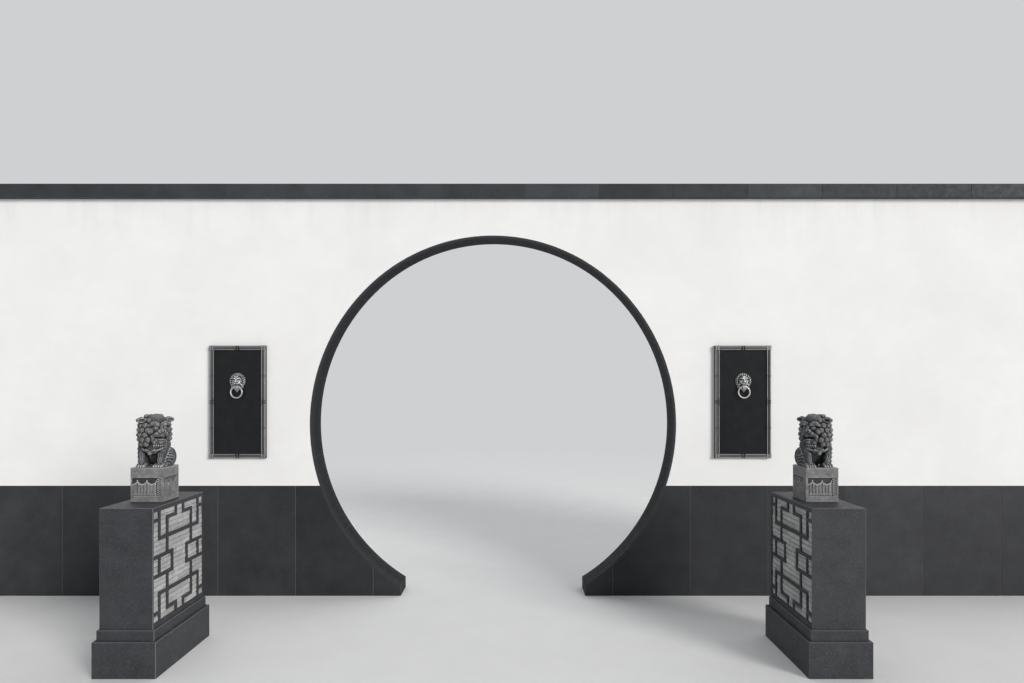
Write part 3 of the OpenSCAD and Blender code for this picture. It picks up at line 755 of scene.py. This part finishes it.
class Clay:
    """Distances in millimetres on a grid. Shapes are added or cut with a soft blend."""

    def __init__(self, low, high, step, reach):
        self.step = step
        self.reach = reach
        self.axes = [np.arange(a, b + step, step, dtype=np.float32) for a, b in zip(low, high)]
        self.origin = np.array([levels[0] for levels in self.axes], np.float32)
        self.field = np.full([len(levels) for levels in self.axes], 50.0, np.float32)
        self.turn = Matrix.Identity(4)

    def frame(self, place=(0, 0, 0), about_z=0.0):
        """From here on, shapes are given in a frame of their own."""
        self.turn = Matrix.Translation(place) @ Matrix.Rotation(radians(about_z), 4, "Z")

    def _near(self, points, reach):
        """The stretch of the grid within reach of some points, and its coordinates from the first."""
        spans = []
        for axis, levels in enumerate(self.axes):
            values = [point[axis] for point in points]
            first, last = np.searchsorted(levels, (min(values) - reach, max(values) + reach))
            spans.append(slice(int(first), int(last)))
        stretches = [levels[span] for levels, span in zip(self.axes, spans)]
        grid = np.meshgrid(*stretches, indexing="ij", sparse=True)
        return tuple(spans), [levels - start for levels, start in zip(grid, points[0])]

    def _blend(self, spans, distance, blend, cut):
        """Adds or cuts a shape, given by the distances from it."""
        old = self.field[spans]
        if cut:
            soft = np.maximum(blend - np.abs(old + distance), 0)
            self.field[spans] = np.maximum(old, -distance) + soft * soft / (4 * blend)
        else:
            soft = np.maximum(blend - np.abs(old - distance), 0)
            self.field[spans] = np.minimum(old, distance) - soft * soft / (4 * blend)

    def limb(self, start, r_start, end, r_end, blend=4.0, cut=False):
        """A rounded bar from one point and radius to another."""
        start, end = self.turn @ Vector(start), self.turn @ Vector(end)
        spans, (x, y, z) = self._near((start, end), max(r_start, r_end) + blend + 3 * self.step)
        run = end - start
        length = max(run.length_squared, 1e-6)
        share = np.clip((x * run.x + y * run.y + z * run.z) / length, 0, 1)
        out = np.sqrt((x - share * run.x) ** 2 + (y - share * run.y) ** 2 + (z - share * run.z) ** 2)
        self._blend(spans, out - (r_start + share * (r_end - r_start)), blend, cut)

    def ball(self, middle, r, blend=4.0, cut=False):
        self.limb(middle, r, middle, r, blend, cut)

    def oval(self, middle, radii, blend=4.0, cut=False):
        """A ball squashed to three radii."""
        back = self.turn.to_3x3().inverted()
        spans, (x, y, z) = self._near((self.turn @ Vector(middle),), max(radii) + blend + 3 * self.step)
        own = [row[0] * x + row[1] * y + row[2] * z for row in back]
        near = np.sqrt(sum((v / r) ** 2 for v, r in zip(own, radii)))
        slope = np.sqrt(sum((v / r**2) ** 2 for v, r in zip(own, radii)))
        self._blend(spans, near * (near - 1) / np.maximum(slope, 1e-6), blend, cut)

    def hoop(self, middle, axis, ring, r, blend=2.0, cut=False):
        normal = (self.turn.to_3x3() @ Vector(axis)).normalized()
        spans, (x, y, z) = self._near((self.turn @ Vector(middle),), ring + r + blend + 3 * self.step)
        along = x * normal.x + y * normal.y + z * normal.z
        out = np.sqrt(np.maximum(x**2 + y**2 + z**2 - along**2, 0)) - ring
        self._blend(spans, np.sqrt(out**2 + along**2) - r, blend, cut)

    def chain(self, points, radii, blend=3.0, cut=False):
        """Limbs from point to point."""
        for (a, ra), (b, rb) in zip(zip(points, radii), zip(points[1:], radii[1:])):
            self.limb(a, ra, b, rb, blend, cut)

    def curl(self, middle, outward, r, blend=3.0):
        """A snail curl: a round boss with a spiral groove."""
        normal = Vector(outward).normalized()
        u = normal.orthogonal().normalized()
        v = normal.cross(u)
        self.ball(middle, r, blend)
        groove = []
        for share in np.linspace(0, 1, 13):
            out, angle = r * (0.16 + 0.70 * share), 9.5 * share
            turn = u * cos(angle) + v * sin(angle)
            groove.append(Vector(middle) + normal * sqrt(r * r - out * out) + turn * out)
        self.chain(groove, [r * 0.11] * 13, 0.8, True)

    def flat(self, axis, level, sign):
        """Keeps only what lies on one side of a level: above it for 1, below it for -1."""
        shape = [1, 1, 1]
        shape[axis] = -1
        self.field = np.maximum(self.field, sign * (level - self.axes[axis]).reshape(shape))

    def skin(self):
        """Quads through the zero level, by surface nets: a point in each cell that the level crosses."""
        cells = tuple(n - 1 for n in self.field.shape)
        total = np.zeros(cells + (3,), np.float32)
        count = np.zeros(cells, np.float32)
        crossings = []
        for axis in range(3):
            b, c = (k for k in range(3) if k != axis)
            field = np.moveaxis(self.field, axis, 0)
            inside = field[:-1] < 0
            cross = inside != (field[1:] < 0)
            with np.errstate(divide="ignore", invalid="ignore"):
                share = np.where(cross, field[:-1] / (field[:-1] - field[1:]), 0)
            sums, counts = np.moveaxis(total, axis, 0), np.moveaxis(count, axis, 0)
            for db, dc in np.ndindex(2, 2):
                part = (slice(None), slice(db, db + cells[b]), slice(dc, dc + cells[c]))
                counts += cross[part]
                sums[..., axis] += share[part]
                sums[..., b] += cross[part] * db
                sums[..., c] += cross[part] * dc
            crossings.append((axis, b, c, np.moveaxis(cross, 0, axis), np.moveaxis(inside, 0, axis)))
        used = count > 0
        index = np.full(cells, -1, np.int64)
        index[used] = np.arange(used.sum())
        where = np.argwhere(used).astype(np.float32) + total[used] / count[used][:, None]
        verts = self.origin + where * self.step
        quads = []
        for axis, b, c, cross, inside in crossings:
            edges = np.argwhere(cross)
            keep = (edges[:, b] > 0) & (edges[:, c] > 0)
            keep &= (edges[:, b] < cells[b]) & (edges[:, c] < cells[c])
            edges = edges[keep]
            corners = []
            for db, dc in ((1, 1), (0, 1), (0, 0), (1, 0)):
                cell = edges.copy()
                cell[:, b] -= db
                cell[:, c] -= dc
                corners.append(index[tuple(cell.T)])
            quad = np.stack(corners, 1)
            flip = inside[tuple(edges.T)] != (axis == 1)
            quad[~flip] = quad[~flip][:, ::-1]
            quads.append(quad)
        return verts, np.concatenate(quads), self.openness(verts), self.crest(verts)

    def sample(self, points):
        """The field between the grid's nodes."""
        cell = (points - self.origin) / self.step
        low = np.clip(np.floor(cell).astype(np.int64), 0, np.array(self.field.shape) - 2)
        part = np.clip(cell - low, 0, 1)
        total = np.zeros(len(points), np.float32)
        for corner in np.ndindex(2, 2, 2):
            weight = np.prod(np.where(corner, part, 1 - part), axis=1)
            total += weight * self.field[tuple((low + corner).T)]
        return total

    def openness(self, verts):
        """How much room each point has in front of it, 0 in a crevice and 1 in the open."""
        slope = np.stack([self.sample(verts + d) - self.sample(verts - d) for d in np.eye(3) * self.step], 1)
        normal = slope / np.maximum(np.linalg.norm(slope, axis=1), 1e-6)[:, None]
        heights = (self.reach / 4, self.reach / 2, self.reach)
        room = [np.clip(self.sample(verts + normal * h) / h, 0, 1) for h in heights]
        return sum(room) / len(room)

    def crest(self, verts):
        """How sharply the surface bends outward at each point, 1 on a ridge of about 5 mm radius."""
        reach = 1.5 * self.step
        around = sum(self.sample(verts + d) + self.sample(verts - d) for d in np.eye(3) * reach)
        return np.clip((around - 6 * self.sample(verts)) / reach**2 * 4.0, 0, 1)


def cast(name, node, clay, place, material, mirrored=False):
    """The clay's skin as a piece, moved from its own millimetres to the gate's metres."""
    verts, quads, room, ridge = clay
    verts = verts * 0.001
    if mirrored:
        verts = verts * np.array([-1, 1, 1])
        quads = quads[:, ::-1]
    verts = verts + np.array(place)
    carved_piece(name, node, verts, quads.tolist(), room, ridge, material, True)


# The lions, in millimetres above their plinth, looking along -Y, gate towards -X


def lion_clay(step):
    clay = Clay((-125, -112, -4), (125, 112, 325), step, 16)
    # body, leaning a little towards the gate
    clay.limb((-6, 32, 50), 56, (-8, 4, 130), 54, 10)
    clay.ball((-10, -34, 106), 40, 10)
    clay.oval((-76, 28, 54), (32, 46, 58), 6)
    clay.oval((62, 32, 50), (33, 46, 54), 6)
    for s, foot, shoulder in ((-1, -62, -68), (1, 42, 62)):
        clay.limb((shoulder, -12, 128), 30, (shoulder * 0.9, -40, 74), 22, 6)
        clay.limb((shoulder * 0.9, -40, 74), 21, (foot, -62, 24), 17, 5)
        clay.limb((foot - 13, -60, 13), 16, (foot + 13, -60, 13), 16, 4)
        for k in range(4):
            toe = foot + (k - 1.5) * 14.5
            clay.limb((toe, -68, 15), 8.2, (toe, -84, 9), 7.2, 1.2)
            clay.chain([(toe, -87, 13), (toe, -95, 9), (toe, -98, 2)], [3.4, 3.8, 2.2], 0.8)
            clay.limb((toe + 7.3, -74, 20), 1.5, (toe + 7.3, -92, 4), 1.7, 0.8, True)
        # fur down the front of the leg
        for k in (-1, 1):
            knee = shoulder * 0.75 + foot * 0.25
            lock = [(shoulder * 0.9 + k * 8, -57, 96), (knee + k * 7, -64, 62), (foot + k * 5, -74, 36)]
            clay.chain(lock, [1.6, 2.0, 1.4], 1.5, True)
        # locks down the outer side of the leg
        for k in range(4):
            x, y, z = shoulder * 0.95 + s * (22 - 5 * k), -6 - 8 * k, 118 - 24 * k
            lock = [(x, y, z), (x + s * 9, y - 12, z - 12), (x + s * 5, y - 20, z - 24)]
            clay.chain(lock, [8, 7, 3], 1.5)
        # hind paw and ridges on the haunch
        haunch = -76 if s < 0 else 62
        clay.limb((haunch - 2, -8, 13), 15, (haunch, -34, 11), 13, 4)
        for k in range(3):
            toe = haunch + (k - 1) * 9.5
            clay.limb((toe, -36, 9), 6.4, (toe, -48, 6), 5, 1.2)
        for k in range(4):
            arc = []
            for angle in np.linspace(0.15, 1.9, 11):
                y, z = -12 + (24 + 15 * k) * cos(angle), 6 + (24 + 15 * k) * sin(angle)
                bulge = 1 - ((y - 29) / 46) ** 2 - ((z - 52) / 56) ** 2
                if bulge > 0.06:
                    arc.append((haunch + s * 34 * sqrt(bulge), y, z))
            clay.chain(arc, [3.0] * len(arc), 2.5, True)
            fan = []
            for angle in np.linspace(-0.9, 0.9, 9):
                dx, dz = (20 + 18 * k) * sin(angle), -44 + (20 + 18 * k) * cos(angle)
                bulge = 1 - (dx / 33) ** 2 - (dz / 56) ** 2
                if bulge > 0.04:
                    fan.append((haunch + dx, 29 - 47.8 * sqrt(bulge), 52 + dz))
            clay.chain(fan, [3.2] * len(fan), 3.0, True)
    # belly between the legs
    clay.oval((-10, -42, 50), (34, 26, 48), 4, True)
    clay.oval((-10, 4, 54), (36, 26, 50), 4)
    # tail curled up the back
    clay.chain([(0, 84, 20), (0, 92, 60), (-4, 80, 104)], [10, 13, 9], 5)
    for s in (-1, 1):
        clay.curl((s * 15, 86, 66), (s * 0.5, 1, 0), 13)
        clay.curl((s * 12, 84, 94), (s * 0.5, 1, 0.3), 11)
    # ribbon round the chest, with a knot, a bell and its tails
    strap = [(-8 + 74 * sin(angle), -12 - 62 * cos(angle), 116 - 24 * cos(angle) + 10 * abs(sin(angle)))
             for angle in np.linspace(-1.7, 1.7, 19)]
    clay.chain(strap, [6.0] * 19, 1.2)
    clay.ball((-10, -80, 84), 12, 1.5)
    clay.limb((-19, -92, 82), 1.6, (-1, -92, 82), 1.6, 0.8, True)
    for s in (-1, 1):
        tail = [(-10 + s * 8, -74, 94), (-10 + s * 24, -72, 102), (-10 + s * 30, -68, 92)]
        clay.chain(tail, [6, 7, 4], 1.5)
    # head
    clay.frame((-8, -16, 222), -52)
    clay.ball((0, 12, -6), 70, 8)
    clay.limb((0, 10, -20), 74, (0, 16, -40), 74, 10)
    clay.oval((0, -20, 54), (50, 46, 40), 5)
    for k in range(-3, 4):
        angle = k * 0.3
        rib = [(52 * sin(angle) * sin(t), -20 - 47 * cos(angle) * sin(t), 54 + 41 * cos(t))
               for t in np.linspace(0.2, 1.5, 9)]
        clay.chain(rib, [2.2] * 9, 1.2, True)
    for s in (-1, 1):
        # brow, eye, cheek, ear
        brow = [(s * 6, -72, 22), (s * 22, -75, 31), (s * 44, -62, 35), (s * 56, -46, 25)]
        clay.chain(brow, [9, 10, 10, 8], 2.5)
        clay.chain([(s * 8, -70, 36), (s * 26, -70, 44), (s * 46, -56, 44)], [6, 7, 5], 1.5)
        clay.ball((s * 25, -78, 12), 14, 2, True)
        clay.ball((s * 24, -66, 12), 13, 1)
        clay.hoop((s * 25, -71, 12), (s * 0.25, -1, 0), 12.5, 2.2, 0.8)
        clay.ball((s * 26, -80, 12), 3.6, 0.8, True)
        clay.ball((s * 46, -52, -10), 20, 4)
        clay.chain([(s * 54, 2, 46), (s * 80, -2, 56), (s * 98, -6, 57)], [20, 20, 13], 3)
        clay.oval((s * 86, -22, 57), (20, 10, 11), 1.5, True)
        # nostrils, lips
        clay.ball((s * 13, -88, -8), 11, 2)
        clay.ball((s * 13, -99, -9), 4, 1, True)
        lip = [(s * 5, -84, -21), (s * 26, -82, -22), (s * 44, -66, -38), (s * 42, -58, -62)]
        clay.chain(lip, [9, 11, 10, 8], 2.5)
    clay.limb((0, -76, 22), 8, (0, -90, -4), 12, 3)
    clay.limb((-30, -60, -72), 13, (30, -60, -72), 13, 4)
    clay.ball((0, -72, -72), 15, 4)
    clay.oval((0, -78, -47), (36, 38, 17), 2, True)
    clay.oval((0, -64, -58), (18, 25, 6), 2)
    for k in range(-4, 5):
        clay.limb((k * 7.6, -84 + abs(k) * 3, -30), 3.6, (k * 7.6, -83 + abs(k) * 3, -38), 3.2, 0.8)
        clay.limb((k * 7.0, -78 + abs(k) * 3, -66), 3.4, (k * 7.0, -78 + abs(k) * 3, -58), 3.0, 0.8)
    # beard in strands
    for k in range(-3, 4):
        x, y = k * 10, -68 + abs(k) * 4
        clay.chain([(x, y, -80), (x * 1.1, y - 4, -92), (x * 1.05, y + 4, -104)], [7.5, 6, 3], 1)
    # mane: rows of snail curls round the sides and back
    rows = ((54, 62, 15), (26, 77, 16), (-2, 82, 16), (-30, 83, 16), (-58, 81, 16), (-84, 74, 15))
    for row, (z, reach, r) in enumerate(rows):
        for k in range(12):
            angle = radians(-42 + 264 / 11 * k + (12 if row % 2 else 0))
            if row % 2 and k == 11:
                continue
            x, y = reach * cos(angle), reach * sin(angle) * 0.94 + 6
            clay.curl((x, y, z), (cos(angle), sin(angle), z / 160), r, 1.5)
    for k in range(7):
        x, y = cos(radians(30 * k)), sin(radians(30 * k))
        clay.curl((42 * x, 14 + 36 * y, 77), (x * 0.5, y * 0.5, 1), 14, 1.5)
    clay.frame()
    clay.flat(2, 0, 1)
    verts, quads, room, ridge = clay.skin()
    x, y, z = verts.T
    # painted shade between the forelegs under the chest, and the claws painted palest of all as painted
    # highlight
    between = np.clip(1.5 - np.abs(x + 10) / 30, 0, 1) * np.clip((100 - z) / 24, 0, 1)
    leg_shade = between * np.clip((y + 52) / 16, 0, 1) * (y < 30)
    claws = (y < -86) & (z < 24)
    return verts, quads, room - 0.6 * leg_shade, ridge * (1 + claws)


lion = lion_clay(2.5)
for side, mirrored in (("left", True), ("right", False)):
    place = (*middle_of("lion_plinth_" + side).xy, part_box("lion_plinth_" + side)[1].z)
    cast("lion_carving_" + side, "guardian_lion_" + side, lion, place, LION, mirrored)


# The knocker masks, in millimetres from the mask's middle on its board, looking along -Y

PIVOT = (0, -30, -42.5)
KNOCKER_R, BAR_R = 43.5, 5.5


def mask_clay(step):
    clay = Clay((-68, -60, -92), (68, 3, 68), step, 8)
    clay.oval((0, 0, 0), (57, 10, 57), 2)
    # three rings of combed locks, the innermost standing highest round the face
    clay.oval((0, -6, 0), (38, 12, 38), 2)
    rings = ((22, 45, 62, 5.8, -8, 0.14), (19, 45, 57, 5.2, -14, -0.18), (14, 28, 37, 4.8, -21, 0.22))
    for count, first, reach, thick, out, turn in rings:
        for k in range(count):
            angle = 2 * pi * (k + 0.5) / count
            lock = []
            for share in (0, 0.25, 0.5, 0.75, 1.0):
                r, bent = first + (reach - first) * share, angle + turn * share * share
                lock.append((r * sin(bent), out - 5 * sin(pi * share) + 5 * share, r * cos(bent)))
            clay.chain(lock, [thick * f for f in (0.9, 1.0, 0.95, 0.7, 0.25)], 1.2)
    clay.hoop((0, -16, 0), (0, 1, 0), 41, 4.0, 1.0, True)
    clay.oval((0, -14, -2), (25, 27, 32), 2)
    clay.hoop((0, -27, 0), (0, 1, 0), 26.5, 2.8, 1.0, True)
    for s in (-1, 0, 1):
        clay.chain([(s * 5, -37, 22), (s * 9, -36, 33), (s * 17, -27, 46)], [4.5, 5.5, 2.5], 1.5)
    for s in (-1, 1):
        # brow, eye, cheek, muzzle, whisker folds
        brow = [(s * 2, -37, 13), (s * 12, -39, 19), (s * 24, -33, 21), (s * 31, -23, 15)]
        clay.chain(brow, [5, 5.5, 5, 3.5], 3)
        clay.oval((s * 15, -41, 8), (10, 10, 7.5), 2, True)
        clay.ball((s * 14, -30, 8), 5.2, 0.8)
        clay.ball((s * 14.5, -37, 8), 1.7, 0.6, True)
        clay.chain([(s * 8, -36, 3), (s * 15, -36, 1), (s * 22, -32, 5)], [2, 2.4, 2], 1.5)
        clay.limb((s * 24, -27, -2), 7.5, (s * 19, -34, -18), 7.5, 4)
        clay.oval((s * 9, -42, -20), (10.5, 10, 8.5), 3)
        clay.chain([(s * 9, -52, -7), (s * 15, -45, -13), (s * 20, -41, -27)], [1.8, 2.2, 2.0], 1, True)
        for k in range(3):
            clay.chain([(s * 6, -52, -17 - 3.4 * k), (s * 13, -50, -18 - 3.6 * k)], [0.9, 0.9], 0.6, True)
            fold = [(s * 23, -23, -18 - 9 * k), (s * 35, -19, -28 - 8 * k), (s * 45, -10, -42 - 6 * k)]
            clay.chain(fold, [5.0, 5.6, 2.0], 1.2)
    clay.limb((0, -37, 14), 5.5, (0, -46, -5), 6.5, 3)
    clay.limb((-4, -49, -8), 5, (4, -49, -8), 5, 2)
    for s in (-1, 1):
        clay.ball((s * 4.6, -54, -10), 2.2, 0.8, True)
    clay.limb((0, -54, -13), 1.2, (0, -50, -28), 1.2, 0.8, True)
    # jaw round the ring, lower lip and beard
    clay.limb((-11, -30, -42.5), 12, (11, -30, -42.5), 12, 1.5)
    clay.limb((-12, -44, -31), 3.4, (12, -44, -31), 3.4, 0.8, True)
    clay.limb((-9, -36, -55), 6, (9, -36, -55), 6, 1)
    for k in range(-3, 4):
        strand = [(k * 6, -25, -58), (k * 6.2, -23, -70 + abs(k) * 3), (k * 4.4, -16, -86 + abs(k) * 5)]
        clay.chain(strand, [5, 4.6, 2], 0.6)
    # room for the ring, in the mouth and over its whole swing
    x, y, z = PIVOT
    clay.limb((x - 3, y, z), BAR_R + 0.5, (x + 3, y, z), BAR_R + 0.5, 0.6, True)
    for s in (-1, 1):
        clay.limb((x + s * 3, y, z), BAR_R + 0.4, (x + s * 26, y, z), BAR_R + 9, 0.8, True)
    for swing in range(-10, 101, 10):
        angle = radians(swing)
        middle = (x, y - KNOCKER_R * sin(angle), z - KNOCKER_R * cos(angle))
        clay.hoop(middle, (0, -cos(angle), sin(angle)), KNOCKER_R, BAR_R + 0.8, 0.6, True)
    clay.flat(1, 0, -1)
    verts, quads, room, ridge = clay.skin()
    # pale ridges painted strongest in the middle of the face, a painted highlight, and weakest in the mane,
    # whose hollows are painted less dark
    out = np.hypot(verts[:, 0], verts[:, 2] + 5)
    ridge = ridge * np.clip(1.45 - out / 42, 0.3, 1)
    room = room + 0.12 * np.clip((out - 30) / 15, 0, 1)
    return verts, quads, room, np.maximum(ridge, 0.8 * np.clip(1.8 - out / 16, 0, 1))


mask = mask_clay(1.1)
for side in SIDES:
    middle = middle_of("panel_board_" + side)
    place = (middle.x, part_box("panel_board_" + side)[0].y, middle.z + MASK_RISE)
    cast("knocker_mask_" + side, "lion_mask_" + side, mask, place, CAST_SILVER)


# Stage, light and camera


BACKDROP = (0.62, 0.63, 0.64)
SKY = (0.94, 0.97, 1.0)
SKY_LIGHT = 0.34
FLOOR_HALF = 60
FLOOR_DROP = 0.0005
EYE_X, EYE_AWAY, EYE_HEIGHT = 0.178, 5.273, 1.613


def floor():
    """A pale floor that fades into the backdrop, far from the gate."""
    look = Look("stage_floor", 0.9, Specular_IOR_Level=0.0, Emission_Color=BACKDROP)
    away = look.node("VectorMath", {0: look.place}, operation="LENGTH")
    far = look.span(away.outputs["Value"], 5.0, 13.0)
    near = look.ramp(look.noise(3, 4), (0.3, 0.83), (0.7, 0.86))
    look.colour(look.mix(far, near, 0.0))
    look.set(Emission_Strength=far)
    corners = ((-1, -1), (1, -1), (1, 1), (-1, 1))
    verts = [(x * FLOOR_HALF, y * FLOOR_HALF, -FLOOR_DROP) for x, y in corners]
    mesh = new_mesh("floor", verts, [(0, 1, 2, 3)])
    obj = bpy.data.objects.new("floor", mesh)
    mesh.materials.append(look.material)
    stage.collection.objects.link(obj)


def world():
    """Soft light on the object, and the backdrop's own shade for the camera, gloss and glass."""
    made = bpy.data.worlds.new("world")
    made.use_nodes = True
    made.node_tree.nodes.clear()
    net = Net(made.node_tree)
    rays = net.node("LightPath").outputs
    seen = net.math("MAXIMUM", rays["Is Camera Ray"], rays["Is Glossy Ray"])
    seen = net.math("MAXIMUM", seen, rays["Is Transmission Ray"])
    light, back = (net.node("Background", {"Color": shade, "Strength": strength}).outputs[0]
                   for shade, strength in ((SKY, SKY_LIGHT), (BACKDROP, 1.0)))
    mix = net.node("MixShader", {0: seen, 1: light, 2: back})
    net.node("OutputWorld", {"Surface": mix.outputs[0]})
    stage.world = made


def sun(name, place, strength, angle, colour=(1, 1, 1)):
    """A wide, even light that shines from the side of a place towards the gate."""
    data = bpy.data.lights.new(name, "SUN")
    data.energy = strength
    data.angle = radians(angle)
    data.color = colour
    obj = bpy.data.objects.new(name, data)
    obj.location = place
    obj.rotation_euler = (-Vector(place)).to_track_quat("-Z", "Y").to_euler()
    stage.collection.objects.link(obj)


floor()
world()
sun("key", (6.0, -6.6, 2.7), 2.61, 24, (1.0, 0.98, 0.955))
sun("back", (0.5, 5.0, 7.0), 0.9, 80)

camera_data = bpy.data.cameras.new("camera")
camera_data.lens = 24
camera_data.sensor_width = 36
camera_data.shift_x = -0.0039
camera_data.shift_y = 0.0444
camera = bpy.data.objects.new("camera", camera_data)
camera.location = (EYE_X, WALL_FRONT - EYE_AWAY, EYE_HEIGHT)
camera.rotation_euler = (radians(90), 0, 0)
stage.collection.objects.link(camera)
stage.camera = camera
stage.view_settings.view_transform = "Standard"
